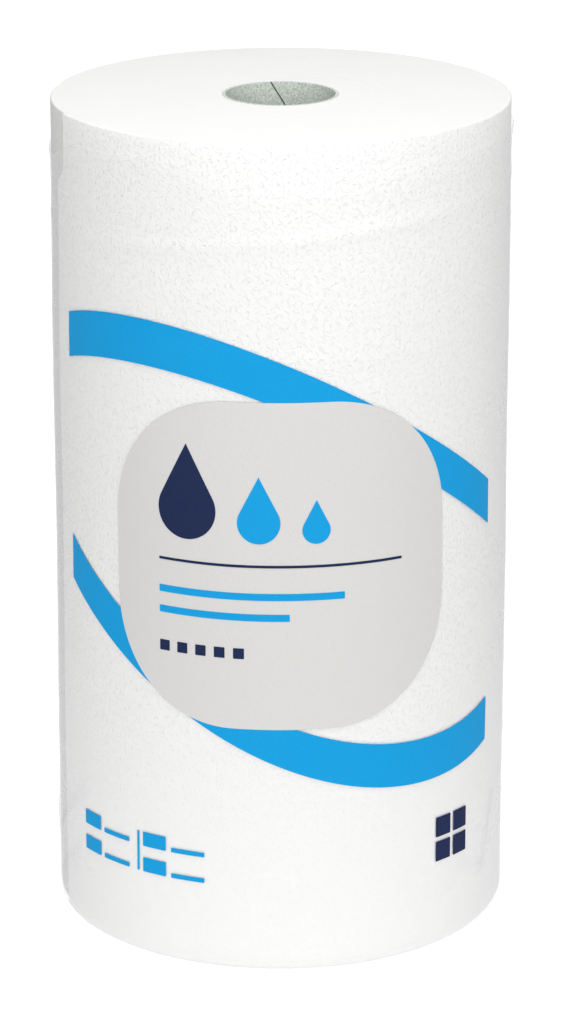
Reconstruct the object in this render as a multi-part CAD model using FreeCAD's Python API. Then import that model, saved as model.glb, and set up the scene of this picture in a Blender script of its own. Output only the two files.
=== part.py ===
import FreeCAD, Part
import math
import os

from FreeCAD import Vector

os.makedirs("parts", exist_ok=True)

# Paper towel roll, wound on a board tube and wrapped in a printed clear sleeve.
# It stands on one end. Z is up along the tube, and -Y is the printed front.

# The wound paper
roll_height = 279.4
roll_diameter = 151.6
top_rounding = 1.0
top_bands = 1
bottom_rounding = 6.0
bottom_bands = 3

# The loose end of the sheet, down the left of the front
tail_step = 0.6
tail_angle = 195.5

# The turns that show on both ends: each ridge stands for several sheets
turn_pitch = 7.6
turn_depth = 0.4

# The board tube and the spiral seam inside it
core_bore = 36.0
core_wall = 1.0
core_clearance = 0.1
seam_pitch = 186.0
seam_width = 0.6
seam_depth = 0.3
seam_top_angle = 100.5

# The clear sleeve, open round the top rim and folded under the base
film_thickness = 0.25
film_clearance = 0.15
film_top_drop = 12.0
film_top_tilt = 3.0
film_fold_radius = 46.0
lap_width = 12.0
lap_angle = 90.0

# The print: a soft grey panel with slanting blue bands behind it
ink_thickness = 0.15
ink_clearance = 0.03
print_half_angle = 64.0
panel_rise = 141.0
panel_corner = 42.0
panel_side = 32.0
panel_flank = 26.0
band_width = 12.5
band_tilt = 34.0
band_offset = 20.0
band_turn = 38.0

# Small marks on the panel, in line with its rule at the left
drop_radii = (10.0, 7.0, 4.6)
drop_tip = 2.2
drop_gap = 7.0
drop_foot = 8.0
rule_width = 82.0
rule_height = 0.9
line_widths = (62.0, 44.0)
line_height = 2.4
line_spacing = 7.0
line_fall = 11.0
square_size = 3.6
square_count = 5
square_spacing = 6.4
square_fall = 31.0

# Small marks low on the sleeve
table_angle = -38.0
table_rise = 40.0
table_rows = 2
table_row_spacing = 9.0
table_column_spacing = 29.0
table_block_width = 9.0
table_block_height = 5.0
table_line_width = 12.0
table_line_height = 1.6
table_gap = 2.0
divider_width = 0.8
tile_angle = 48.0
tile_rise = 32.0
tile_size = 7.0
tile_gap = 1.6

# Worked out from the sizes above
up = Vector(0, 0, 1)
origin = Vector(0, 0, 0)
roll_radius = roll_diameter / 2
roll_base = film_thickness
core_radius = core_bore / 2 + core_wall
paper_bore_radius = core_radius + core_clearance
film_inner_radius = roll_radius + film_clearance
film_outer_radius = film_inner_radius + film_thickness
overrun = 1.5 * turn_pitch


def at(radius, height):
    """A point of a half section, which lies in the plane of X and Z."""
    return Vector(radius, 0, height)


def lines(points):
    """Straight edges from each point to the next."""
    return [Part.LineSegment(a, b).toShape() for a, b in zip(points, points[1:])]


def corner(centre, radius, start, bands):
    """Points of a soft corner in a half section: a quarter circle in a few flat bands."""
    angles = [math.radians(start + 90 * step / bands) for step in range(bands + 1)]
    return [centre + Vector(math.cos(angle), 0, math.sin(angle)) * radius for angle in angles]


def section(points):
    """The face of a half section inside a closed ring of points."""
    return Part.Face(Part.Wire(lines(points + points[:1])))


def direction(angle):
    """The level direction at an angle in degrees from +X towards +Y."""
    return Vector(math.cos(math.radians(angle)), math.sin(math.radians(angle)), 0)


def half_turn(face, start, shift):
    """Half a turn of a half section, with its axis moved away from the tail."""
    solid = face.revolve(origin, up, 180)
    solid.rotate(origin, up, start)
    solid.translate(direction(tail_angle + 180) * shift)
    return solid


def outer_section(radius):
    """Half section of the whole roll, with its soft rims, filled to the axis."""
    low_centre = at(radius - bottom_rounding, roll_base + bottom_rounding)
    high_centre = at(radius - top_rounding, roll_height - top_rounding)
    points = [at(0, roll_height), at(0, roll_base)]
    points += corner(low_centre, bottom_rounding, -90, bottom_bands)
    points += corner(high_centre, top_rounding, 0, top_bands)
    return section(points)


def zigzag(first, last, ridge, groove):
    """Points from ridge to groove to ridge, from one radius to a later one."""
    points = [at(first, ridge)]
    radius = first
    while radius < last:
        points.append(at(radius + turn_pitch / 2, groove))
        points.append(at(radius + turn_pitch, ridge))
        radius += turn_pitch
    return points


def turned_section(shift):
    """Half section with a groove between each turn and the next, on both ends."""
    start = paper_bore_radius - overrun + shift
    top = zigzag(start, roll_radius + overrun + shift, roll_height, roll_height - turn_depth)
    base = zigzag(start, film_fold_radius + shift, roll_base, roll_base + turn_depth)
    return section(base + [at(top[-1].x, roll_base)] + top[::-1])


def paper_roll():
    """The wound sheet as one solid: a spiral of two centres, stepped at its tail."""
    first = half_turn(outer_section(roll_radius), tail_angle, 0)
    first = first.common(half_turn(turned_section(0), tail_angle, 0))
    second = half_turn(outer_section(roll_radius - tail_step / 2), tail_angle + 180, tail_step / 2)
    second = second.common(half_turn(turned_section(turn_pitch / 2), tail_angle + 180, turn_pitch / 2))
    bore = Part.makeCylinder(paper_bore_radius, roll_height + overrun, at(0, -overrun / 2))
    return first.fuse(second).cut(bore)


def seam_cutter():
    """The groove where the edges of the tube's spiral strip meet, inside the bore."""
    height = roll_height + 2 * seam_width
    path = Part.makeHelix(seam_pitch, height, core_bore / 2)
    inner = core_bore / 2 - seam_depth
    corners = [at(inner, -seam_width), at(core_bore / 2 + seam_depth, 0), at(inner, seam_width)]
    cutter = Part.Wire(path.Edges).makePipeShell([Part.Wire(lines(corners + corners[:1]))], True, True)
    turn_at_top = 360 * (roll_height + seam_width) / seam_pitch
    cutter.rotate(origin, up, seam_top_angle - turn_at_top)
    cutter.translate(Vector(0, 0, -seam_width))
    return cutter


def cardboard_core():
    tube = Part.makeCylinder(core_radius, roll_height)
    tube = tube.cut(Part.makeCylinder(core_bore / 2, roll_height))
    return tube.cut(seam_cutter())


def film_section():
    """Half section of the sleeve's wall, round its lower corner and in to its fold."""
    centre = at(film_inner_radius - bottom_rounding, roll_base + bottom_rounding)
    inner = corner(centre, bottom_rounding, -90, bottom_bands)
    outer = corner(centre, bottom_rounding + film_thickness, -90, bottom_bands)
    points = [at(film_fold_radius, roll_base)] + inner + [at(film_inner_radius, roll_height)]
    points += [at(film_outer_radius, roll_height)] + outer[::-1] + [at(film_fold_radius, 0)]
    return section(points)


def shell(inner, outer, low, high):
    """An upright tube between two radii and two heights."""
    tube = Part.makeCylinder(outer, high - low, at(0, low))
    return tube.cut(Part.makeCylinder(inner, high - low, at(0, low)))


def film_lap():
    """The strip where the sleeve's two edges lap and are welded, up the back."""
    low = roll_base + bottom_rounding
    strip = shell(film_outer_radius, film_outer_radius + film_thickness, low, roll_height)
    reach = film_outer_radius + overrun
    block = Part.makeBox(reach, lap_width, roll_height, Vector(0, -lap_width / 2, 0))
    block.rotate(origin, up, lap_angle)
    return strip.common(block)


def above_film():
    """Everything over the sleeve's slanting top edge."""
    reach = 2 * roll_diameter
    block = Part.makeBox(reach, reach, reach, Vector(-reach / 2, -reach / 2, 0))
    block.rotate(origin, Vector(0, 1, 0), -film_top_tilt)
    block.translate(Vector(0, 0, roll_height - film_top_drop))
    return block


def film_wrapper():
    sleeve = film_section().revolve(origin, up, 360)
    return sleeve.fuse(film_lap()).cut(above_film())


def ink_coat(number):
    """A coat of ink over the printed front: coat 1 lies on the film, coat 2 on coat 1."""
    inner = film_outer_radius + number * ink_clearance + (number - 1) * ink_thickness
    low = roll_base + bottom_rounding
    spread = 2 * print_half_angle
    coat = Part.makeCylinder(inner + ink_thickness, roll_height - low, at(0, low), up, spread)
    coat = coat.cut(Part.makeCylinder(inner, roll_height - low, at(0, low)))
    coat.rotate(origin, up, -90 - print_half_angle)
    return coat.cut(above_film())


def on_front(across, height):
    """A point of the flat print, seen from the front once it is wrapped on the sleeve."""
    return at(film_outer_radius * math.sin(across / film_outer_radius), height)


def punch(wire, angle=0):
    """A solid that takes a shape out of a coat of ink, turned round the roll by an angle."""
    solid = Part.Face(wire).extrude(Vector(0, -2 * roll_radius, 0))
    solid.rotate(origin, up, angle)
    return solid


def stamp(number, wires, angle=0):
    """The solids that punches of these shapes take out of one coat of ink."""
    coat = ink_coat(number)
    return [coat.common(punch(wire, angle)) for wire in wires]


def panel_wire():
    """Wide round corners joined by a straight stretch at each side, top and foot."""
    side = panel_side / 2
    rise = panel_flank / 2
    edges = []
    ends = []
    for quarter, (x, z) in enumerate([(side, rise), (-side, rise), (-side, -rise), (side, -rise)]):
        angles = [math.radians(90 * quarter + turn) for turn in (0, 45, 90)]
        points = [on_front(x + panel_corner * math.cos(a), panel_rise + z + panel_corner * math.sin(a))
                  for a in angles]
        edges.append(Part.Arc(*points).toShape())
        ends.append((points[0], points[2]))
    for number, (first, last) in enumerate(ends):
        edges += lines([last, ends[(number + 1) % len(ends)][0]])
    return Part.Wire(Part.__sortEdges__(edges))


def box_wire(left, low, width, height):
    """A rectangle from its lower left corner on the flat print."""
    right = left + width
    high = low + height
    corners = [on_front(left, low), on_front(right, low), on_front(right, high), on_front(left, high)]
    return Part.Wire(lines(corners + corners[:1]))


def drop_wire(across, low, radius):
    """A round drop with straight flanks up to its tip, from the foot of its circle."""
    centre = on_front(across, low + radius)
    tip = centre + Vector(0, 0, radius * drop_tip)
    lean = math.asin(1 / drop_tip)
    right = centre + Vector(math.cos(lean), 0, math.sin(lean)) * radius
    left = centre + Vector(-math.cos(lean), 0, math.sin(lean)) * radius
    bottom = centre - Vector(0, 0, radius)
    return Part.Wire([Part.Arc(right, bottom, left).toShape()] + lines([left, tip, right]))


def print_grey_panel():
    return stamp(1, [panel_wire()])[0]


def band(side):
    """A band between two slanting planes: side 1 climbs over the panel, side -1 dips under it."""
    reach = 4 * roll_diameter
    slab = Part.makeBox(reach, reach, band_width, Vector(-reach / 2, -reach / 2, -band_width / 2))
    slab.rotate(origin, Vector(1, 0, 0), -side * band_tilt)
    slab.rotate(origin, up, -side * band_turn)
    slab.translate(Vector(0, 0, panel_rise + side * band_offset))
    return ink_coat(1).common(slab)


def print_blue_bands():
    """Two bands cut off at the sides of the printed front, and hidden behind the panel."""
    return band(1).fuse(band(-1)).cut(punch(panel_wire()))


def drop_wires():
    """Drops side by side on one level, each smaller than the last."""
    wires = []
    left = -rule_width / 2
    for radius in drop_radii:
        wires.append(drop_wire(left + radius, panel_rise + drop_foot, radius))
        left += 2 * radius + drop_gap
    return wires


def table_wires():
    """Two columns of blocks and lines, with a divider between them."""
    wires = []
    for column in (0, 1):
        left = (column - 1) * table_column_spacing + table_gap
        for row in range(table_rows):
            low = table_rise - row * table_row_spacing
            wires.append(box_wire(left, low, table_block_width, table_block_height))
            line_left = left + table_block_width + table_gap
            wires.append(box_wire(line_left, low, table_line_width, table_line_height))
    foot = table_rise - (table_rows - 1) * table_row_spacing
    wires.append(box_wire(-divider_width / 2, foot, divider_width, table_rise + table_block_height - foot))
    return wires


def print_blue_marks():
    """The smaller drops and the lines on the panel, and the table low on the sleeve."""
    wires = drop_wires()[1:]
    for number, width in enumerate(line_widths):
        low = panel_rise - line_fall - number * line_spacing
        wires.append(box_wire(-rule_width / 2, low, width, line_height))
    return Part.makeCompound(stamp(2, wires) + stamp(1, table_wires(), table_angle))


def tile_wires():
    """Four small squares, two by two."""
    pitch = tile_size + tile_gap
    return [box_wire(column * pitch - tile_size, tile_rise + row * pitch, tile_size, tile_size)
            for column in (0, 1) for row in (0, 1)]


def print_navy_marks():
    """The largest drop, the rule and the squares on the panel, and the tiles low on the sleeve."""
    wires = drop_wires()[:1]
    wires.append(box_wire(-rule_width / 2, panel_rise, rule_width, rule_height))
    for number in range(square_count):
        left = number * square_spacing - rule_width / 2
        wires.append(box_wire(left, panel_rise - square_fall, square_size, square_size))
    return Part.makeCompound(stamp(2, wires) + stamp(1, tile_wires(), tile_angle))


nodes = {
    "paper_roll": paper_roll,
    "cardboard_core": cardboard_core,
    "film_wrapper": film_wrapper,
    "print_grey_panel": print_grey_panel,
    "print_blue_bands": print_blue_bands,
    "print_blue_marks": print_blue_marks,
    "print_navy_marks": print_navy_marks,
}

for name, make in nodes.items():
    shape = make()
    shape.exportStep("parts/" + name + ".step")
    print(name, len(shape.Solids), "solids", round(shape.Volume), "mm3", shape.isValid())
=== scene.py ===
import math

import bmesh
import bpy
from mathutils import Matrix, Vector, noise


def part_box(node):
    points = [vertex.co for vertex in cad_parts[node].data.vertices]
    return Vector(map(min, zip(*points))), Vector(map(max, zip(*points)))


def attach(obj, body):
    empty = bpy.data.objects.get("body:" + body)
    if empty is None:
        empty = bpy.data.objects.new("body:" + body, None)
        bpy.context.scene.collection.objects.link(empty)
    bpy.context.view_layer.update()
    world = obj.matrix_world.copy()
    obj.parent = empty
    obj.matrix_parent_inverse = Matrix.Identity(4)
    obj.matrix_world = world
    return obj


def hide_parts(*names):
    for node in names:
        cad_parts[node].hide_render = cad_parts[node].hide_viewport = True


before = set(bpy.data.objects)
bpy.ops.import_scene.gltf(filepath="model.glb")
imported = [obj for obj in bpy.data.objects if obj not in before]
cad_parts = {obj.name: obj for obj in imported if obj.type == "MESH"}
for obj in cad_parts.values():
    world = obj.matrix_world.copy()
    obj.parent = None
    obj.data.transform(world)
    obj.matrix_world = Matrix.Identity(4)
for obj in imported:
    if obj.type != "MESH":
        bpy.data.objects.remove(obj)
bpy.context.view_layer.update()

bl_info = {
    "name": "Wrapped Paper Towel Roll",
    "version": (1, 0, 0),
    "blender": (4, 5, 0),
    "location": "3D View > Sidebar > Towel Roll",
    "description": "Dresses a paper towel roll: sheet, board tube, printed sleeve and stage",
    "category": "Object",
}

MM = 0.001
FRONT = -math.pi / 2

# What the frame gives: each box is (lowest corner, highest corner), in metres
paper_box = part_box("paper_roll")
core_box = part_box("cardboard_core")
film_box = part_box("film_wrapper")


def length(name, description, metres):
    """A length that a user may change."""
    return bpy.props.FloatProperty(name=name, description=description, default=metres, min=0.0,
                                   precision=5, unit="LENGTH")


def turn(name, description, degrees):
    """An angle that a user may change."""
    return bpy.props.FloatProperty(name=name, description=description,
                                   default=math.radians(degrees), subtype="ANGLE")


def colour(name, description, red, green, blue):
    """A colour that a user may change, given as the screen shows it (sRGB), from 0 to 255."""
    shown = [value / 255 for value in (red, green, blue)]
    linear = [((value + 0.055) / 1.055) ** 2.4 for value in shown]
    return bpy.props.FloatVectorProperty(name=name, description=description, default=linear,
                                         min=0.0, max=1.0, subtype="COLOR")


class RollSizes(bpy.types.PropertyGroup):
    """Sizes of the wound sheet and of the board tube in its middle."""

    roll_radius: length("Roll radius", "Outside of the last turn at its loose end", paper_box[1][0])
    roll_top: length("Roll top", "Upper end of the wound sheet", paper_box[1][2])
    roll_base: length("Roll base", "Lower end of the wound sheet", paper_box[0][2])
    top_rounding: length("Top rounding", "Soft corner of the upper rim", 0.5 * MM)
    low_rounding: length("Low rounding", "Soft corner of the lower rim", 6 * MM)
    turns: bpy.props.IntProperty(name="Turns", description="Turns of the sheet", default=57, min=3)
    turn_depth: length("Turn depth", "Depth of the groove between two turns", 0.1 * MM)
    tail_step: length("Tail step", "Height of the loose end's edge", 0.6 * MM)
    tail_shift: length("Tail shift", "How far the loose end is drawn to the front", 3.5 * MM)
    corner_shift: length("Corner shift", "How much further its top corner is drawn", 6.5 * MM)
    tail_angle: turn("Tail angle", "Where the loose end lies, from +X towards +Y", 195.5)
    core_radius: length("Core radius", "Outside of the board tube", core_box[1][0])
    core_wall: length("Core wall", "Thickness of the board", 1 * MM)
    core_clearance: length("Core clearance", "Between the board and the first turn", 0.1 * MM)
    seam_pitch: length("Seam pitch", "Rise of the board's spiral seam in one turn", 186 * MM)
    seam_top_angle: turn("Seam angle", "Where the seam meets the upper end", 100.5)
    seam_width: length("Seam width", "Width of the gap between the board's edges", 0.7 * MM)
    seam_depth: length("Seam depth", "Depth of the gap between the board's edges", 0.45 * MM)


class SleeveSizes(bpy.types.PropertyGroup):
    """Sizes of the clear sleeve and of its print."""

    film_radius: length("Film radius", "Outside of the sleeve", film_box[1][0] - 0.12 * MM)
    film_thickness: length("Film thickness", "Wall of the sleeve", 0.1 * MM)
    film_drop: length("Film drop", "From the roll's top to the sleeve's mean edge", 12 * MM)
    drop_sideways: length("Sideways tilt", "How much lower the edge is at the left", 4 * MM)
    drop_forwards: length("Forward tilt", "How much lower the edge is at the front", 2.3 * MM)
    film_hem: length("Film hem", "Radius of the hem under the base", 46 * MM)
    edge_rise: length("Edge rise", "How much higher the edge is at the left of the front", 9 * MM)
    lap_width: length("Lap width", "Strip where the sleeve is welded, up the back", 12 * MM)
    ink_thickness: length("Ink thickness", "Coat of ink on the sleeve", 0.05 * MM)
    ink_gap: length("Ink gap", "Between one coat and the next", 0.03 * MM)
    print_half_angle: turn("Print half angle", "Half the turn that the print covers", 64)


class RollColours(bpy.types.PropertyGroup):
    """Colours of the finishes."""

    tissue: colour("Tissue", "White sheet", 247, 247, 246)
    board: colour("Board", "Recycled board of the tube", 236, 240, 233)
    board_fleck: colour("Board fleck", "Dark fibres in the board", 184, 194, 185)
    film: colour("Film", "Shine of the clear sleeve", 250, 251, 252)
    grey: colour("Grey ink", "Panel", 218, 217, 215)
    blue: colour("Blue ink", "Bands and small marks", 0, 159, 224)
    navy: colour("Navy ink", "Small marks", 22, 38, 78)


class Wire:
    """A node's output that Python can reckon with: each operator adds a Math node."""

    def __init__(self, finish, socket):
        self.finish = finish
        self.socket = socket

    def maths(self, operation, *values, clamp=False):
        """One Math node on numbers and wires."""
        settings = {"operation": operation, "use_clamp": clamp}
        return self.finish.node("ShaderNodeMath", settings, dict(enumerate(values)))

    def __add__(self, other):
        return self.maths("ADD", self, other)

    def __radd__(self, other):
        return self.maths("ADD", other, self)

    def __sub__(self, other):
        return self.maths("SUBTRACT", self, other)

    def __rsub__(self, other):
        return self.maths("SUBTRACT", other, self)

    def __mul__(self, other):
        return self.maths("MULTIPLY", self, other)

    def __rmul__(self, other):
        return self.maths("MULTIPLY", other, self)

    def __abs__(self):
        return self.maths("ABSOLUTE", self)

    def clamped(self):
        """The same value, kept between 0 and 1."""
        return self.maths("ADD", self, 0.0, clamp=True)


class Finish:
    """A material or world that is put together from nodes."""

    def __init__(self, owner):
        owner.use_nodes = True
        self.owner = owner
        self.tree = owner.node_tree
        self.tree.nodes.clear()

    def node(self, kind, settings=None, sockets=None, output=0):
        """One node of any type: its settings first, then the values or links of its sockets."""
        made = self.tree.nodes.new(kind)
        for name, value in (settings or {}).items():
            setattr(made, name, value)
        for name, value in (sockets or {}).items():
            if isinstance(value, Wire):
                self.tree.links.new(value.socket, made.inputs[name])
            else:
                made.inputs[name].default_value = value
        return Wire(self, made.outputs[output]) if made.outputs else None

    def blend(self, factor, first, second):
        """A colour between two colours."""
        sockets = {0: factor, 6: first, 7: second}
        return self.node("ShaderNodeMix", {"data_type": "RGBA"}, sockets, 2)

    def ramp(self, value, low, high, bottom=0.0, top=1.0):
        """A smooth climb from bottom to top as a value goes from low to high."""
        sockets = {"Value": value, "From Min": low, "From Max": high,
                   "To Min": bottom, "To Max": top}
        return self.node("ShaderNodeMapRange", {"interpolation_type": "SMOOTHSTEP"}, sockets)

    def attribute(self, name):
        """A number that the mesh keeps at each of its points."""
        return self.node("ShaderNodeAttribute", {"attribute_name": name}, output="Fac")

    def object_place(self):
        """The place on the piece, in metres."""
        return self.node("ShaderNodeTexCoord", output="Object")

    def parts_of(self, vector):
        """X, Y and Z of a vector."""
        first = self.node("ShaderNodeSeparateXYZ", sockets={0: vector})
        outputs = first.socket.node.outputs
        return [Wire(self, outputs[name]) for name in "XYZ"]

    def vector(self, x, y, z):
        """A vector of three values."""
        return self.node("ShaderNodeCombineXYZ", sockets={"X": x, "Y": y, "Z": z})

    def speckle(self, place, scale, detail=2.0, roughness=0.5):
        """Noise from 0 to 1 with so many features in a metre."""
        sockets = {"Vector": place, "Scale": scale, "Detail": detail, "Roughness": roughness}
        return self.node("ShaderNodeTexNoise", sockets=sockets)

    def bump(self, height, strength=1.0):
        """A normal from a height in metres."""
        sockets = {"Height": height, "Distance": 1.0, "Strength": strength}
        return self.node("ShaderNodeBump", sockets=sockets)

    def principled(self, **sockets):
        """The surface, with each socket named in full and its spaces written as underscores."""
        named = {name.replace("_", " "): value for name, value in sockets.items()}
        shader = self.node("ShaderNodeBsdfPrincipled", sockets=named)
        self.node("ShaderNodeOutputMaterial", sockets={"Surface": shader})


def full(rgb):
    """A colour property as red, green, blue and alpha."""
    return (*rgb, 1.0)


def darker(rgb, share):
    """A colour at a share of its brightness."""
    return [value * share for value in rgb]


def new_finish(name):
    """A new material without nodes."""
    return Finish(bpy.data.materials.new(name))


def unrolled(finish, radius):
    """The place on the roll's side as if it lay flat: across, from the front, and up, in metres."""
    x, y, z = finish.parts_of(finish.object_place())
    across = x.maths("ARCTAN2", x, 0.0 - y) * radius
    return across, z


# Embossed dashes: each is full as far as the first half size and has gone at the second
DASH_THICKNESS = (0.10 * MM, 0.32 * MM)
DASH_LENGTH = (0.35 * MM, 0.80 * MM)
DASH_LEAN = 2.4
DASH_BEND = 900.0
PRESSED_DASHES = 540.0
RAISED_DASHES = 430.0
RAISED_OFFSET = (0.9 * MM, 1.3 * MM)
EMBOSS_DEPTH = 0.10 * MM
CREPE_SCALE = 1500.0
CREPE_DEPTH = 0.06 * MM
FAINT_BELOW = (20 * MM, 110 * MM)


def squiggle(finish, across, up, scale):
    """Short bent dashes, one in each cell of an uneven grid: 1 along a dash and 0 between them."""
    place = finish.vector(across, up, 0.0)
    cell = finish.node("ShaderNodeTexVoronoi", {"voronoi_dimensions": "2D"},
                       {"Vector": place, "Scale": scale, "Randomness": 0.9}, "Position")
    middle_across, middle_up, _ = finish.parts_of(cell)
    lean, bend, _ = finish.parts_of(Wire(finish, cell.socket.node.outputs["Color"]))
    lean = (lean - 0.5) * DASH_LEAN
    right, rise = across - middle_across, up - middle_up
    along = right * lean.maths("SINE", lean) + rise * lean.maths("COSINE", lean)
    aside = right * lean.maths("COSINE", lean) - rise * lean.maths("SINE", lean)
    aside = aside + along * along * (bend - 0.5) * DASH_BEND
    line = finish.ramp(abs(aside), *DASH_THICKNESS, 1.0, 0.0)
    return line * finish.ramp(abs(along), *DASH_LENGTH, 1.0, 0.0)


def squiggles(finish, radius):
    """Height of the embossed sheet in metres: squiggles pressed in, fainter near the base."""
    across, up = unrolled(finish, radius)
    pressed = squiggle(finish, across, up, PRESSED_DASHES)
    beside, above = RAISED_OFFSET
    raised = squiggle(finish, across + beside, up + above, RAISED_DASHES)
    crepe = finish.speckle(finish.vector(across * 1.3, up, 0.0), CREPE_SCALE, 2.0, 0.6)
    strength = finish.ramp(up, *FAINT_BELOW, 0.35, 1.0)
    return (crepe * CREPE_DEPTH + raised * EMBOSS_DEPTH - pressed * EMBOSS_DEPTH) * strength


# Greys of the white sheet, as shares of its brightness: painted shade in the pressed dashes, the
# cut edges' tone, and painted shade beside the loose end
PRESSED_SHADE_AND_CLOUD = 0.98
CUT_TONE = 0.95
PAINTED_TAIL_SHADE = 0.8


def tissue_finish(sizes, colours):
    """Two-ply embossed tissue: matt white, with painted shade in its pressed lines and beside its
    loose end.
    """
    finish = new_finish("embossed_tissue")
    height = squiggles(finish, sizes.roll_radius)
    pressed = finish.ramp(height, -EMBOSS_DEPTH, 0.04 * MM, 0.0, 1.0)
    cloud = finish.speckle(finish.object_place(), 30.0, 3.0)
    # Painted shade in the recessed pressed dashes, mixed with a random cloudy tone
    tone = (pressed * 0.6 + cloud * 0.4).clamped()
    base = finish.blend(tone, full(darker(colours.tissue, PRESSED_SHADE_AND_CLOUD)), full(colours.tissue))
    # Painted shade: the sheet is darkened beside the loose end, as far as the attribute 'under'
    # reaches
    under = finish.attribute("under")
    shade = full(darker(colours.tissue, PAINTED_TAIL_SHADE))
    base = finish.blend(under * 0.8, base, shade)
    finish.principled(Base_Color=base, Roughness=0.9 - pressed * 0.1, Specular_IOR_Level=0.25,
                      Sheen_Weight=0.08, Sheen_Roughness=0.6, Normal=finish.bump(height))
    return finish.owner


def cut_edge_finish(colours):
    """The cut edges of the turns on both ends: soft fibres, faintly uneven round each turn."""
    finish = new_finish("cut_tissue_edges")
    place = finish.object_place()
    fibres = finish.speckle(place, 2600.0, 4.0, 0.65)
    cloud = finish.speckle(place, 60.0, 3.0)
    tone = (fibres * 0.4 + cloud * 0.6).clamped()
    base = finish.blend(tone, full(darker(colours.tissue, CUT_TONE)), full(colours.tissue))
    height = fibres * (0.12 * MM) + cloud * (0.2 * MM)
    finish.principled(Base_Color=base, Roughness=0.88 + fibres * 0.1, Specular_IOR_Level=0.2,
                      Normal=finish.bump(height))
    return finish.owner


SEAM_SHADOW = (0.05, 0.055, 0.05, 1.0)


def board_finish(colours):
    """Recycled board: mottled grey with a green cast, dark flecks, and a shadow in its seam."""
    finish = new_finish("recycled_board")
    place = finish.object_place()
    mottle = finish.speckle(place, 1500.0, 4.0, 0.7)
    fleck = finish.ramp(finish.speckle(place, 3000.0, 2.0), 0.54, 0.66)
    light = finish.ramp(mottle, 0.36, 0.62)
    base = finish.blend(light, full(colours.board_fleck), full(colours.board))
    base = finish.blend(fleck * 0.45, base, full(colours.board_fleck))
    seam = finish.attribute("seam")
    base = finish.blend(seam, base, SEAM_SHADOW)
    height = mottle * (0.12 * MM) - fleck * (0.03 * MM)
    finish.principled(Base_Color=base, Roughness=0.8 + mottle * 0.15, Specular_IOR_Level=0.2,
                      Normal=finish.bump(height))
    return finish.owner


# Creases of the sleeve: across from the front and up at both ends, width, and share of milky
# film, which stays under a quarter, because a denoiser outlines anything milkier
CREASES = (
    (-108 * MM, 22 * MM, -66 * MM, 62 * MM, 5.5 * MM, 0.2),
    (-104 * MM, 10 * MM, -72 * MM, 36 * MM, 6.0 * MM, 0.2),
    (60 * MM, 31 * MM, 92 * MM, 21 * MM, 4.5 * MM, 0.15),
    (80 * MM, 18 * MM, 94 * MM, 54 * MM, 5.0 * MM, 0.15),
)


def crease(finish, across, up, start_across, start_up, end_across, end_up, width):
    """One straight crease that fades at both ends: 1 along its line and 0 beside it."""
    reach = math.hypot(end_across - start_across, end_up - start_up)
    level, steep = (end_across - start_across) / reach, (end_up - start_up) / reach
    right, rise = across - start_across, up - start_up
    along = right * level + rise * steep
    aside = abs(right * steep - rise * level)
    line = finish.ramp(aside, 0.0, width, 1.0, 0.0)
    return line * finish.ramp(abs(along - reach / 2), 0.15 * reach, 0.5 * reach, 1.0, 0.0)


# How much the film mirrors: seen along its surface, in its haze, and everywhere
SIDE_SHINE = 0.7
HAZE_SHINE = 0.02
LEAST_SHINE = 0.004

# Share of milky film at the free edge, and a crease's height as a share of its width
MILKY_EDGE = 0.22
CREASE_RISE = 0.2


def film_finish(sizes, colours, strength=1.0):
    """Clear film: see-through, with a soft mirror's shine that grows towards its sides."""
    finish = new_finish("clear_film" if strength == 1.0 else "clear_film_inside")
    across, up = unrolled(finish, sizes.film_radius)
    drift = finish.speckle(finish.vector(across * 0.5, up, 0.0), 26.0, 2.0, 0.5)
    haze = finish.speckle(finish.vector(across, up * 2.0, 2.0), 24.0, 3.0)
    wander = finish.speckle(finish.vector(across, up, 4.0), 40.0, 1.0) * (2.0 * MM)
    rim = finish.attribute("rim")
    aslant = finish.node("ShaderNodeLayerWeight", sockets={"Blend": 0.5}, output="Facing")
    shine = aslant.maths("POWER", aslant, 5.0)
    folds, ridge = rim * MILKY_EDGE, drift * (0.8 * MM)
    for *ends, width, shown in CREASES:
        fold = crease(finish, across + wander, up + wander, *ends, width)
        folds, ridge = folds + fold * shown, ridge + fold * (CREASE_RISE * width)
    seen = (shine * SIDE_SHINE + haze * HAZE_SHINE + LEAST_SHINE) * strength
    normal = finish.bump(ridge)
    mirror = finish.node("ShaderNodeBsdfPrincipled", sockets={
        "Base Color": full(colours.film), "Metallic": 1.0,
        "Roughness": 0.16 + haze * 0.2, "Normal": normal})
    milky = finish.node("ShaderNodeBsdfPrincipled", sockets={
        "Base Color": full(colours.film), "Roughness": 0.4 + haze * 0.2, "Normal": normal})
    clear = finish.node("ShaderNodeBsdfTransparent")
    film = finish.node("ShaderNodeMixShader", sockets={0: seen.clamped(), 1: clear, 2: mirror})
    milk = (folds * strength).clamped()
    film = finish.node("ShaderNodeMixShader", sockets={0: milk, 1: film, 2: milky})
    finish.node("ShaderNodeOutputMaterial", sockets={"Surface": film})
    return finish.owner


# How much white shows through where the ink is thinnest
THIN_INK = 0.015


def ink_finish(name, rgb, sizes):
    """Printed film: even ink with a soft shine, slightly thinner in a fine mottle."""
    finish = new_finish(name)
    across, up = unrolled(finish, sizes.film_radius)
    place = finish.vector(across, up, 0.0)
    mottle = finish.speckle(place, 900.0, 3.0, 0.6)
    cloud = finish.speckle(place, 35.0, 2.0)
    thin = [value + (1.0 - value) * THIN_INK for value in rgb]
    base = finish.blend((mottle * 0.5 + cloud * 0.5).clamped(), full(thin), full(rgb))
    emboss = squiggles(finish, sizes.film_radius)
    finish.principled(Base_Color=base, Roughness=0.5 + mottle * 0.12, Specular_IOR_Level=0.08,
                      Normal=finish.bump(emboss, 0.3))
    return finish.owner


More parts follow.
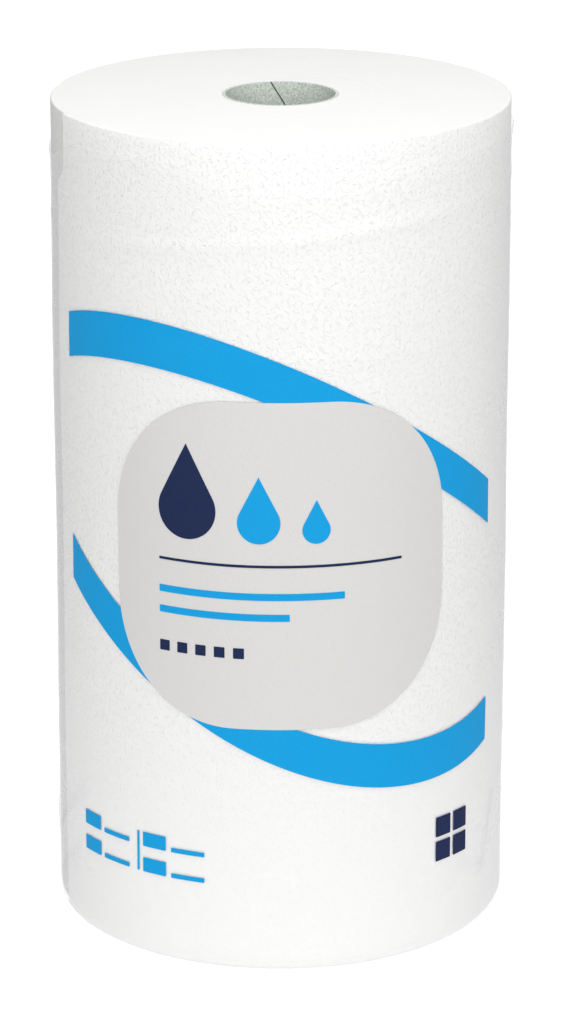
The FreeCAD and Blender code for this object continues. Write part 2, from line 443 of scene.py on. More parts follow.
def fresh(add, **place):
    """Adds one primitive with nothing else selected, and opens it in edit mode."""
    bpy.ops.object.select_all(action="DESELECT")
    add(**place)
    bpy.ops.object.mode_set(mode="EDIT")
    bpy.ops.mesh.select_all(action="SELECT")
    return bpy.context.object


def closed_up(piece, name):
    """Leaves edit mode, names the piece and puts its place in its mesh."""
    bpy.ops.object.mode_set(mode="OBJECT")
    piece.name = name
    piece.data.name = name
    bpy.ops.object.transform_apply(location=True, rotation=True, scale=True)


def spun(outline, steps, angle, merge=True):
    """A half section drawn point by point and spun round the roll's axis, left in edit mode."""
    radius, height = outline[0]
    piece = fresh(bpy.ops.mesh.primitive_plane_add, size=MM,
                  location=polar(radius, angle, height))
    bpy.ops.mesh.merge(type="CENTER")
    for (radius, height), (next_radius, next_height) in zip(outline, outline[1:]):
        move = {"value": polar(next_radius - radius, angle, next_height - height)}
        bpy.ops.mesh.extrude_region_move(TRANSFORM_OT_translate=move)
    bpy.ops.mesh.select_all(action="SELECT")
    bpy.ops.mesh.spin(steps=steps, angle=math.tau, center=(0, 0, 0), axis=(0, 0, 1),
                      use_auto_merge=merge)
    return piece


def merged(threshold):
    """Merges what coincides and points all faces outwards, in edit mode."""
    bpy.ops.mesh.select_all(action="SELECT")
    bpy.ops.mesh.remove_doubles(threshold=threshold)
    bpy.ops.mesh.normals_make_consistent(inside=False)


def face_outwards(piece):
    """Turns an upright shell's faces away from the roll's axis if they face it."""
    facing = sum(face.normal.x * face.center.x + face.normal.y * face.center.y
                 for face in piece.data.polygons)
    if facing < 0:
        piece.data.flip_normals()


def reshape(piece, rule):
    """Moves each vertex to the place that a rule gives for it."""
    for vertex in piece.data.vertices:
        vertex.co = rule(vertex.co)
    piece.data.update()


def thicken(piece, thickness, offset, inner_material=0):
    """Gives a sheet its thickness: offset 1 grows it outwards and -1 inwards."""
    wall = piece.modifiers.new("wall", "SOLIDIFY")
    wall.thickness = thickness
    wall.offset = offset
    wall.material_offset = inner_material
    bpy.ops.object.modifier_apply(modifier=wall.name)


def placed(piece, slot, *nodes):
    """Tells the frame what a finished piece rides on and stands for. The slot, for what it is made
    of, is not used.
    """
    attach(piece, "root")
    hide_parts(*nodes)


def smooth(piece, degrees):
    """Shades smooth over every edge that turns by less than an angle."""
    bpy.ops.object.select_all(action="DESELECT")
    piece.select_set(True)
    bpy.context.view_layer.objects.active = piece
    bpy.ops.object.shade_smooth_by_angle(angle=math.radians(degrees))


def arc(centre_radius, centre_height, radius, start, bands):
    """Points of a quarter circle in a half section, from a start angle in degrees."""
    angles = [math.radians(start + 90 * step / bands) for step in range(bands + 1)]
    return [(centre_radius + radius * math.cos(angle), centre_height + radius * math.sin(angle))
            for angle in angles]


def smoothstep(value, low, high):
    """A smooth climb from 0 at low to 1 at high."""
    share = min(max((value - low) / (high - low), 0.0), 1.0)
    return share * share * (3 - 2 * share)


def hill(value, foot, top, far_top, far_foot):
    """A smooth climb from 0 to 1 and back to 0."""
    return smoothstep(value, foot, top) * (1.0 - smoothstep(value, far_top, far_foot))


def polar(radius, angle, height):
    """The place at a distance from the roll's axis, an angle from +X and a height."""
    return Vector((radius * math.cos(angle), radius * math.sin(angle), height))


def wobble(spot, scale, layer):
    """Smooth noise over the plan, from -1 to 1, with its own pattern for each layer."""
    return noise.noise(Vector((spot.x * scale, spot.y * scale, layer)))


# Shallow rings round the roll: below the top, climb to the right, height and width
RINGS = (
    (31.5 * MM, 7 * MM, 0.25 * MM, 2.4 * MM),
    (70 * MM, 1 * MM, 0.14 * MM, 2.4 * MM),
    (218 * MM, 0 * MM, 0.18 * MM, 2.6 * MM),
)


# Soft dents of the roll's side: features in a metre, and depth
DENTS = ((16.0, 0.35 * MM), (45.0, 0.10 * MM))

# Height of a close row, and the share of a turn over which the sleeve bridges the step
RING_ROW = 1.3 * MM
BRIDGE_SHARE = 0.025


def ring_rows(top):
    """Heights of the close rows that a mesh needs round the faint rings."""
    rows = []
    for drop, climb, _, width in RINGS:
        reach = climb + 1.6 * width
        count = math.ceil(reach / RING_ROW)
        rows += [top - drop + reach * step / count for step in range(-count, count + 1)]
    return rows


def relief(spot, top):
    """How far the roll's side stands out at a spot, in metres: soft dents and faint rings."""
    level = Vector((spot.x, spot.y, spot.z * 0.8))
    out = sum(noise.noise(level * scale) * depth for scale, depth in DENTS)
    for drop, climb, height, width in RINGS:
        centre = top - drop + climb * spot.x / paper_box[1][0]
        share = (spot.z - centre) / width
        fade = 0.65 + 0.6 * wobble(spot, 22.0, drop * 90.0)
        out += height * fade * math.exp(-share * share)
    return out


def drawn_in(roll, angle):
    """How far the last turn lies inside the roll's full radius; the sleeve bridges its step."""
    share = (angle - roll.tail_angle) % math.tau / math.tau
    return roll.tail_step * share * min(1.0, (1.0 - share) / BRIDGE_SHARE)


def pushed_out(spot, out):
    """A spot moved away from the roll's axis."""
    radius = math.hypot(spot.x, spot.y)
    share = (radius + out) / radius
    return Vector((spot.x * share, spot.y * share, spot.z))


class TOWEL_OT_wound_sheet(bpy.types.Operator):
    """Adds the wound sheet: a true spiral of turns, stepped at its loose end."""

    bl_idname = "towel.wound_sheet"
    bl_label = "Wound Sheet"

    columns = 240
    row_height = 3.6 * MM

    # How uneven the cut top is, and how ragged the loose end
    uneven_cut = 0.06 * MM
    ragged_edge = 0.5 * MM

    # Shares of the last turn between which the shade beside the loose end grows
    shaded = (0.88, 0.96)

    # Depths below the top between which the loose end's corner is drawn further
    corner_depths = (25 * MM, 17 * MM)

    # How far from the loose end the sheet still gives way when it is drawn, and where ragged
    drawn_reach = 32 * MM
    ragged_reach = 8 * MM

    # Depths inside the full radius between which the shaping of the side fades in
    side_depths = (6 * MM, 1 * MM)

    def turn_radius(self, sizes, turn_number):
        """Radius of the sheet after so many turns: the first and last turns are pressed thinner."""
        bore = sizes.core_radius + sizes.core_clearance
        under_tail = sizes.roll_radius - sizes.tail_step
        full_turns = sizes.turns - 1
        pitch = (under_tail - bore) / full_turns
        if turn_number < 0:
            return bore + turn_number * 0.8 * sizes.core_clearance
        if turn_number > full_turns:
            return under_tail + (turn_number - full_turns) * sizes.tail_step
        return bore + turn_number * pitch

    def turn_number(self, sizes, radius):
        """How many turns lie inside a radius, where the loose end starts."""
        bore = sizes.core_radius + sizes.core_clearance
        under_tail = sizes.roll_radius - sizes.tail_step
        if radius > under_tail:
            return sizes.turns - 1 + (radius - under_tail) / sizes.tail_step
        return (radius - bore) / (under_tail - bore) * (sizes.turns - 1)

    def side_heights(self, sizes):
        """Levels of the side's rows, closer together at the faint rings."""
        low = sizes.roll_base + sizes.low_rounding
        high = sizes.roll_top - sizes.top_rounding
        rows = round((high - low) / self.row_height)
        heights = {low + (high - low) * row / rows for row in range(1, rows)}
        return sorted(heights.union(ring_rows(sizes.roll_top)), reverse=True)

    def outline(self, sizes):
        """Half section of the roll at its loose end, from the bore's upper edge and round."""
        rim = sizes.roll_radius - sizes.top_rounding
        corner = sizes.roll_radius - sizes.low_rounding
        ridges = [self.turn_radius(sizes, step / 2) for step in range(2 * sizes.turns + 1)]
        top = [(r, sizes.roll_top - step % 2 * sizes.turn_depth)
               for step, r in enumerate(ridges) if r < rim - 0.3 * MM]
        base = [(r, sizes.roll_base + step % 2 * sizes.turn_depth)
                for step, r in enumerate(ridges) if r < corner - 0.3 * MM]
        high = arc(rim, sizes.roll_top - sizes.top_rounding, sizes.top_rounding, 0, 4)
        low = arc(corner, sizes.roll_base + sizes.low_rounding, sizes.low_rounding, -90, 7)
        side = [(sizes.roll_radius, height) for height in self.side_heights(sizes)]
        return top + high[::-1] + side + low[::-1] + base[::-1]

    def execute(self, context):
        sizes = context.scene.roll_sizes
        outline = self.outline(sizes)
        piece = spun(outline + outline[:1], self.columns, sizes.tail_angle, merge=False)
        bpy.ops.object.mode_set(mode="OBJECT")
        bpy.ops.object.transform_apply(location=True, rotation=True, scale=True)
        self.wind(piece, sizes, len(outline) + 1)
        bpy.ops.object.mode_set(mode="EDIT")
        merged(0.02 * MM)
        bpy.ops.mesh.select_all(action="DESELECT")
        bpy.ops.mesh.select_non_manifold(use_wire=False, use_boundary=True, use_multi_face=False,
                                         use_non_contiguous=False, use_verts=False)
        bpy.ops.mesh.fill()
        merged(0.02 * MM)
        closed_up(piece, "wound_sheet")
        self.finish(piece, context)
        placed(piece, "tissue_paper", "paper_roll")
        return {"FINISHED"}

    def wind(self, piece, sizes, points):
        """Draws every column in to the spiral, by how far round from the loose end it lies."""
        # The attribute 'under' holds the painted shade beside the loose end
        under = piece.data.attributes.new("under", "FLOAT", "POINT")
        for number, vertex in enumerate(piece.data.vertices):
            radius = math.hypot(vertex.co.x, vertex.co.y)
            angle = (math.atan2(vertex.co.y, vertex.co.x) - sizes.tail_angle) % math.tau
            first = number < points
            share = 1.0 if first else angle / math.tau
            if not first and (share < 0.25 / self.columns or share > 1 - 0.25 / self.columns):
                share = 0.0
            turn_now = self.turn_number(sizes, radius) - share
            out = self.turn_radius(sizes, turn_now) - radius
            spot = vertex.co.copy()
            if spot.z > sizes.roll_top - 0.5 * MM:
                spot.z += (noise.noise(Vector((turn_now * 0.37, 0.0, 5.0))) - 1.0) * self.uneven_cut
            under.data[number].value = smoothstep(share, *self.shaded)
            vertex.co = pushed_out(spot, out)

    def finish(self, piece, context):
        """Dents the side, draws the loose end to its place and gives the sheet its finishes."""
        sizes = context.scene.roll_sizes
        rim_starts, rim_full = (sizes.roll_radius - depth for depth in self.side_depths)
        corner_low, corner_high = (sizes.roll_top - depth for depth in self.corner_depths)

        def pressed(spot):
            radius = math.hypot(spot.x, spot.y)
            rim = smoothstep(radius, rim_starts, rim_full)
            angle = math.atan2(spot.y, spot.x)
            away = abs((angle - sizes.tail_angle + math.pi) % math.tau - math.pi) * radius
            ragged = noise.noise(Vector((0.0, 9.0, spot.z * 160.0))) * self.ragged_edge
            corner = smoothstep(spot.z, corner_low, corner_high)
            drawn = sizes.tail_shift + sizes.corner_shift * corner
            shift = ragged * (1.0 - smoothstep(away, 0.0, self.ragged_reach))
            shift += drawn * (1.0 - smoothstep(away, 0.0, self.drawn_reach))
            angle += shift * rim / radius
            radius += relief(spot, sizes.roll_top) * rim
            return polar(radius, angle, spot.z)

        reshape(piece, pressed)
        piece.data.materials.append(tissue_finish(sizes, context.scene.roll_colours))
        piece.data.materials.append(cut_edge_finish(context.scene.roll_colours))
        for face in piece.data.polygons:
            if abs(face.normal.z) > 0.75:
                face.material_index = 1
        smooth(piece, 50)


class TOWEL_OT_board_tube(bpy.types.Operator):
    """Adds the board tube, with the spiral gap between the edges of its strip."""

    bl_idname = "towel.board_tube"
    bl_label = "Board Tube"

    columns = 96
    rows = 90

    def execute(self, context):
        sizes = context.scene.roll_sizes
        inner = sizes.core_radius - sizes.core_wall
        top = core_box[1][2]
        piece = fresh(bpy.ops.mesh.primitive_cylinder_add, vertices=self.columns, radius=inner,
                      depth=top, end_fill_type="NOTHING", location=(0, 0, top / 2))
        for row in range(1, self.rows):
            bpy.ops.mesh.select_all(action="SELECT")
            bpy.ops.mesh.bisect(plane_co=(0, 0, top * row / self.rows), plane_no=(0, 0, 1))
        closed_up(piece, "board_tube")

        def twisted(spot):
            angle = math.atan2(spot.y, spot.x) + sizes.seam_top_angle
            angle += math.tau * (spot.z - top) / sizes.seam_pitch
            return polar(inner, angle, spot.z)

        seam_line = [vertex.index for vertex in piece.data.vertices
                     if vertex.co.x > inner * 0.5 and abs(vertex.co.y) < 0.01 * MM]
        reshape(piece, twisted)
        self.cut_seam(piece, sizes, seam_line)
        smooth(piece, 35)
        piece.data.materials.append(board_finish(context.scene.roll_colours))
        placed(piece, "core_board", "cardboard_core")
        return {"FINISHED"}

    def cut_seam(self, piece, sizes, seam_line):
        """Opens the seam's edge into a narrow groove, then gives the board its thickness."""
        group = piece.vertex_groups.new(name="seam_line")
        group.add(seam_line, 1.0, "REPLACE")
        bpy.ops.object.mode_set(mode="EDIT")
        bpy.ops.mesh.select_mode(type="VERT")
        bpy.ops.mesh.select_all(action="DESELECT")
        piece.vertex_groups.active = group
        bpy.ops.object.vertex_group_select()
        bpy.ops.mesh.bevel(offset=sizes.seam_width / 2, segments=2, affect="EDGES",
                           clamp_overlap=False)
        bpy.ops.object.mode_set(mode="OBJECT")
        inner = sizes.core_radius - sizes.core_wall
        top = core_box[1][2]
        seam = piece.data.attributes.new("seam", "FLOAT", "POINT")
        for vertex in piece.data.vertices:
            angle = math.atan2(vertex.co.y, vertex.co.x) - sizes.seam_top_angle
            angle -= math.tau * (vertex.co.z - top) / sizes.seam_pitch
            away = abs((angle + math.pi) % math.tau - math.pi) * inner
            if away < 0.2 * sizes.seam_width:
                vertex.co = pushed_out(vertex.co, sizes.seam_depth)
                seam.data[vertex.index].value = 1.0
        bpy.ops.object.mode_set(mode="EDIT")
        merged(0.001 * MM)
        bpy.ops.object.mode_set(mode="OBJECT")
        face_outwards(piece)
        thicken(piece, sizes.core_wall, 1.0)

        def within(spot):
            """Keeps the thickened board inside its radius and its ends."""
            radius = math.hypot(spot.x, spot.y)
            inside = pushed_out(spot, min(0.0, sizes.core_radius - radius))
            return Vector((inside.x, inside.y, min(max(spot.z, 0.0), top)))

        reshape(piece, within)


# Across the front, from left to right: where the sleeve's edge stands high and where it shines
HIGH_EDGE = (-104 * MM, -76 * MM, -46 * MM, -4 * MM)
SHINING_EDGE = (-88 * MM, -70 * MM, -52 * MM, -32 * MM)


class TOWEL_OT_clear_sleeve(bpy.types.Operator):
    """Adds the clear sleeve, folded under the base, and the lap of its weld up the back."""

    bl_idname = "towel.clear_sleeve"
    bl_label = "Clear Sleeve"

    columns = 288
    row_height = 3.4 * MM
    edge_row = 1.1 * MM
    hem_rings = 14

    # The free edge: its wave and nicks, and the part of the side that slants with it, stands
    # loose and shines
    edge_wave = 1.1 * MM
    edge_nicks = 0.35 * MM
    slanting_part = 60 * MM
    loose_part = 9 * MM
    shining_part = (1.8 * MM, 0.3 * MM)

    # How far the film stands off the roll: in its crinkles, at its right, at its curled edge
    # and in the bulge low at its left, which has a half turn in radians and a half height
    crinkle_depth = 0.35 * MM
    flare_depth = 0.35 * MM
    flare_turn = 0.12
    curl_depth = 0.3 * MM
    bulge_depth = 0.5 * MM
    bulge_turn = 0.2
    bulge_height = 31 * MM
    bulge_reach = 6 * MM

    # Under the base and up the back
    pleats = 46
    pleat_depth = 0.12 * MM
    hem_reach = 12 * MM
    ragged_hem = 3 * MM
    weld_depth = 0.05 * MM
    weld_half_width = 3 * MM
    ribs = 2600.0

    def top_edge(self, sizes, roll_top, spot):
        """Height of the sleeve's free edge at a spot: a slanting plane, a little ragged."""
        sideways = spot.x / sizes.film_radius
        forwards = -spot.y / sizes.film_radius
        drop = sizes.film_drop - sizes.drop_sideways * sideways + sizes.drop_forwards * forwards
        wave = wobble(spot, 40.0, 3.0) * self.edge_wave
        fine = wobble(spot, 160.0, 8.0) * self.edge_nicks
        across = math.atan2(spot.x, -spot.y) * sizes.film_radius
        return roll_top - drop + wave + fine + sizes.edge_rise * hill(across, *HIGH_EDGE)

    def outline(self, sizes, roll):
        """Half section of the sleeve, from the hem under the base to the free edge."""
        corner = roll.low_rounding + sizes.film_thickness
        base = sizes.film_thickness
        inner_end = sizes.film_radius - corner
        hem = [(sizes.film_hem + (inner_end - sizes.film_hem) * ring / self.hem_rings, base)
               for ring in range(self.hem_rings)]
        low = arc(inner_end, corner + base, corner, -90, 7)
        edge = roll.roll_top - sizes.film_drop
        rows = round((edge - corner) / self.row_height)
        side = edge - corner - base
        heights = {corner + base + side * row / rows for row in range(1, rows + 1)}
        heights.update(row for row in ring_rows(roll.roll_top) if row < edge - 5 * self.edge_row)
        for step in range(1, 6):
            heights.add(edge - step * self.edge_row)
        heights.add(edge - 0.3 * MM)
        return hem + low + [(sizes.film_radius, height) for height in sorted(heights)]

    def execute(self, context):
        sizes = context.scene.sleeve_sizes
        roll = context.scene.roll_sizes
        piece = spun(self.outline(sizes, roll), self.columns, math.pi / 2)
        merged(0.001 * MM)
        closed_up(piece, "clear_sleeve")
        edge = roll.roll_top - sizes.film_drop
        rim = piece.data.attributes.new("rim", "FLOAT", "POINT")
        for vertex in piece.data.vertices:
            across = math.atan2(vertex.co.x, -vertex.co.y) * sizes.film_radius
            shown = 0.1 + 0.9 * hill(across, *SHINING_EDGE)
            beside = smoothstep(vertex.co.z, *(edge - depth for depth in self.shining_part))
            rim.data[vertex.index].value = shown * beside
        reshape(piece, lambda spot: self.drawn_tight(spot, sizes, roll))
        face_outwards(piece)
        film = film_finish(sizes, context.scene.roll_colours)
        piece.data.materials.append(film)
        piece.data.materials.append(film_finish(sizes, context.scene.roll_colours, 0.1))
        thicken(piece, sizes.film_thickness, -1.0, 1)
        smooth(piece, 60)
        placed(piece, "clear_film", "film_wrapper")
        self.lap(sizes, roll, film)
        return {"FINISHED"}

    def drawn_tight(self, spot, sizes, roll):
        """A spot of the sleeve: pressed on the roll, crinkled at its edge, pleated under it."""
        edge = roll.roll_top - sizes.film_drop
        lift = smoothstep(spot.z, edge - self.slanting_part, edge)
        height = spot.z + (self.top_edge(sizes, roll.roll_top, spot) - edge) * lift
        radius = math.hypot(spot.x, spot.y)
        angle = math.atan2(spot.y, spot.x)
        moved = Vector((spot.x, spot.y, height))
        if radius > sizes.film_radius - 1 * MM:
            loose = smoothstep(spot.z, edge - self.loose_part, edge)
            crinkle = wobble(spot, 70.0, height * 25.0)
            flare = math.exp(-(angle / self.flare_turn) ** 2) * self.flare_depth
            curl = smoothstep(spot.z, edge - 5 * MM, edge - 1 * MM)
            curl -= smoothstep(spot.z, edge - 1.2 * MM, edge)
            out = relief(moved, roll.roll_top) + loose * (abs(crinkle) * self.crinkle_depth + flare)
            out += curl * self.curl_depth
            round_left = ((angle + math.pi + 0.1) % math.tau - 0.2) / self.bulge_turn
            level = (height - self.bulge_height) / self.bulge_reach
            bulge = math.exp(-round_left ** 2 - level ** 2) * self.bulge_depth
            return pushed_out(moved, out + bulge - drawn_in(roll, angle))
        under = 1.0 - smoothstep(radius, sizes.film_radius - 9 * MM, sizes.film_radius - 4 * MM)
        pleat = 0.5 + 0.5 * math.sin(angle * self.pleats + 3 * noise.noise(spot * 60.0))
        moved.z += under * pleat * self.pleat_depth
        hem = 1.0 - smoothstep(radius, sizes.film_hem, sizes.film_hem + self.hem_reach)
        return pushed_out(moved, hem * wobble(spot, 60.0, 1.0) * self.ragged_hem)

    def lap(self, sizes, roll, film):
        """The strip where one edge of the sleeve lies over the other."""
        low = roll.low_rounding + sizes.film_thickness
        high = roll.roll_top - sizes.film_drop
        piece = fresh(bpy.ops.mesh.primitive_grid_add, x_subdivisions=12, y_subdivisions=76,
                      size=1.0, location=(0, 0, 0))
        bpy.ops.transform.resize(value=(sizes.lap_width, high - low, 1.0))
        bpy.ops.transform.translate(value=(0, (high + low) / 2, 0))
        closed_up(piece, "sleeve_lap")

        def laid(spot):
            angle = math.pi / 2 - spot.x / sizes.film_radius
            radius = sizes.film_radius + sizes.ink_gap
            place = polar(radius, angle, spot.y)
            lift = smoothstep(spot.y, high - self.slanting_part, high)
            place.z += (self.top_edge(sizes, roll.roll_top, place) - high) * lift
            ribbed = 1.0 if abs(spot.x) < self.weld_half_width else 0.0
            weld = self.weld_depth * math.sin(spot.y * self.ribs) * ribbed
            return pushed_out(place, relief(place, roll.roll_top) + weld - drawn_in(roll, angle))

        reshape(piece, laid)
        face_outwards(piece)
        piece.data.materials.append(film)
        thicken(piece, sizes.film_thickness, 1.0)
        smooth(piece, 60)
        placed(piece, "clear_film", "film_wrapper")


# Widths round the roll and height of the strips that flat print is cut in
PANEL_STRIP = 2.5 * MM
MARK_STRIP = 2 * MM
STRIP_HEIGHT = 3 * MM


def strips(low, high, spacing, axis):
    """Cuts a flat sheet across into narrow strips, so that it can follow the roll."""
    count = max(1, math.ceil((high - low) / spacing))
    normal = (1, 0, 0) if axis == 0 else (0, 1, 0)
    for step in range(1, count):
        place = low + (high - low) * step / count
        spot = (place, 0, 0) if axis == 0 else (0, place, 0)
        bpy.ops.mesh.select_all(action="SELECT")
        bpy.ops.mesh.bisect(plane_co=spot, plane_no=normal)


def flat_box(left, low, width, height, rounding=0.25 * MM):
    """A rectangle with soft corners on the flat print, from its lower left corner."""
    middle = (left + width / 2, low + height / 2, 0)
    piece = fresh(bpy.ops.mesh.primitive_plane_add, size=1.0, location=middle)
    bpy.ops.transform.resize(value=(width, height, 1.0))
    bpy.ops.mesh.bevel(affect="VERTICES", offset=rounding, segments=4)
    return piece


def flat_drop(across, low, radius, tip):
    """A round drop whose upper points are drawn together to its tip."""
    centre = low + radius
    piece = fresh(bpy.ops.mesh.primitive_circle_add, vertices=72, radius=radius, fill_type="NGON",
                  location=(across, centre, 0))
    lean = radius * math.sin(math.asin(1 / tip)) + 0.01 * MM
    shape = bmesh.from_edit_mesh(piece.data)
    for vertex in shape.verts:
        vertex.select = vertex.co.y > lean
    shape.select_flush_mode()
    bmesh.update_edit_mesh(piece.data)
    bpy.ops.mesh.merge(type="CENTER")
    shape = bmesh.from_edit_mesh(piece.data)
    for vertex in shape.verts:
        if vertex.select:
            vertex.co = Vector((0, radius * tip, 0))
    bmesh.update_edit_mesh(piece.data)
    return piece


def wrapped(piece, context, coat, around=0.0):
    """Bends a flat print on to the sleeve, turned round the roll by an angle."""
    sizes = context.scene.sleeve_sizes
    roll = context.scene.roll_sizes
    base = sizes.film_radius + coat * sizes.ink_gap + (coat - 1) * sizes.ink_thickness

    def bent(spot):
        angle = FRONT + around + spot.x / sizes.film_radius
        radius = base + spot.z
        place = polar(radius, angle, spot.y)
        return pushed_out(place, relief(place, roll.roll_top) - drawn_in(roll, angle))

    reshape(piece, bent)


def inked(piece, name, sizes):
    """Closes a flat print with the thickness of its ink and turns its faces outwards."""
    bpy.ops.mesh.select_all(action="SELECT")
    bpy.ops.mesh.normals_make_consistent(inside=False)
    closed_up(piece, name)
    if piece.data.polygons[0].normal.z < 0:
        piece.data.flip_normals()
    thicken(piece, sizes.ink_thickness, 1.0)


def joined(pieces, name):
    """Makes one piece of several."""
    bpy.ops.object.select_all(action="DESELECT")
    for piece in pieces:
        piece.select_set(True)
    bpy.context.view_layer.objects.active = pieces[0]
    bpy.ops.object.join()
    pieces[0].name = name
    pieces[0].data.name = name
    return pieces[0]


class PrintSizes(bpy.types.PropertyGroup):
    """Sizes of the generic print, as it would lie flat."""

    panel_rise: length("Panel rise", "Middle of the grey panel", 141 * MM)
    panel_width: length("Panel width", "Across the grey panel", 116 * MM)
    panel_height: length("Panel height", "Up the grey panel", 110 * MM)
    panel_corner: length("Panel corner", "Radius of the panel's corners", 42 * MM)
    band_height: length("Band height", "Upright height of a blue band", 15.08 * MM)
    band_climb: length("Band climb", "How far a band rises or dips round the roll", 51.4 * MM)
    band_offset: length("Band offset", "A band's middle above or below the panel's", 20 * MM)
    band_turn: turn("Band turn", "From the front to a band's peak", 38)
    margin: length("Margin", "From the front's middle to the marks' left edge", 41 * MM)
    drop_foot: length("Drop foot", "The drops' foot above the panel's middle", 8 * MM)
    drop_gap: length("Drop gap", "Between one drop and the next", 7 * MM)
    drop_tip: bpy.props.FloatProperty(
        name="Drop tip", description="Height of a drop's tip in radii", default=2.2, min=1.1)
    rule_height: length("Rule height", "Thickness of the navy rule", 0.9 * MM)
    line_height: length("Line height", "Thickness of the blue lines", 2.4 * MM)
    square: length("Square", "Side of the small squares", 3.6 * MM)


def panel_sheet(sizes, name):
    """The flat rounded panel, in edit mode."""
    piece = fresh(bpy.ops.mesh.primitive_plane_add, size=1.0, location=(0, sizes.panel_rise, 0))
    piece.name = name
    bpy.ops.transform.resize(value=(sizes.panel_width, sizes.panel_height, 1.0))
    bpy.ops.mesh.bevel(affect="VERTICES", offset=sizes.panel_corner, segments=32)
    return piece


class TOWEL_OT_grey_panel(bpy.types.Operator):
    """Adds the printed grey panel on the front."""

    bl_idname = "towel.grey_panel"
    bl_label = "Grey Panel"

    def execute(self, context):
        sizes = context.scene.print_sizes
        piece = panel_sheet(sizes, "grey_panel")
        half = sizes.panel_width / 2
        rise = sizes.panel_height / 2
        strips(-half, half, PANEL_STRIP, 0)
        strips(sizes.panel_rise - rise, sizes.panel_rise + rise, STRIP_HEIGHT, 1)
        inked(piece, "grey_panel", context.scene.sleeve_sizes)
        wrapped(piece, context, 1)
        smooth(piece, 40)
        grey = context.scene.roll_colours.grey
        piece.data.materials.append(ink_finish("grey_ink", grey, context.scene.sleeve_sizes))
        placed(piece, "grey_ink", "print_grey_panel")
        return {"FINISHED"}


class TOWEL_OT_blue_bands(bpy.types.Operator):
    """Adds the two slanting blue bands, cut off behind the panel."""

    bl_idname = "towel.blue_bands"
    bl_label = "Blue Bands"

    cutter_depth = 10 * MM

    def band(self, sizes, sleeve, side):
        """One flat band: side 1 climbs over the panel, side -1 dips under it."""
        reach = sleeve.print_half_angle * sleeve.film_radius
        piece = fresh(bpy.ops.mesh.primitive_grid_add, x_subdivisions=120, y_subdivisions=5,
                      size=1.0, location=(0, 0, 0))
        bpy.ops.transform.resize(value=(2 * reach, sizes.band_height, 1.0))
        closed_up(piece, "band")

        def swung(spot):
            turn_from_peak = spot.x / sleeve.film_radius + side * sizes.band_turn
            swing = sizes.band_offset + sizes.band_climb * math.cos(turn_from_peak)
            return Vector((spot.x, spot.y + sizes.panel_rise + side * swing, spot.z))

        reshape(piece, swung)
        thicken(piece, sleeve.ink_thickness, 1.0)
        return piece

    def execute(self, context):
        sizes = context.scene.print_sizes
        sleeve = context.scene.sleeve_sizes
        cutter = panel_sheet(sizes, "cutter")
        bpy.ops.transform.translate(value=(0, 0, -self.cutter_depth / 2))
        through = {"value": (0, 0, self.cutter_depth)}
        bpy.ops.mesh.extrude_region_move(TRANSFORM_OT_translate=through)
        bpy.ops.mesh.select_all(action="SELECT")
        bpy.ops.mesh.normals_make_consistent(inside=False)
        closed_up(cutter, "cutter")
        bands = [self.band(sizes, sleeve, side) for side in (1, -1)]
        for band in bands:
            bpy.context.view_layer.objects.active = band
            cut = band.modifiers.new("behind_panel", "BOOLEAN")
            cut.operation = "DIFFERENCE"
            cut.solver = "EXACT"
            cut.object = cutter
            bpy.ops.object.modifier_apply(modifier=cut.name)
        bpy.data.objects.remove(cutter)
        piece = joined(bands, "blue_bands")
        wrapped(piece, context, 1)
        smooth(piece, 40)
        colours = context.scene.roll_colours
        piece.data.materials.append(ink_finish("blue_ink", colours.blue, sleeve))
        placed(piece, "blue_ink", "print_blue_bands")
        return {"FINISHED"}


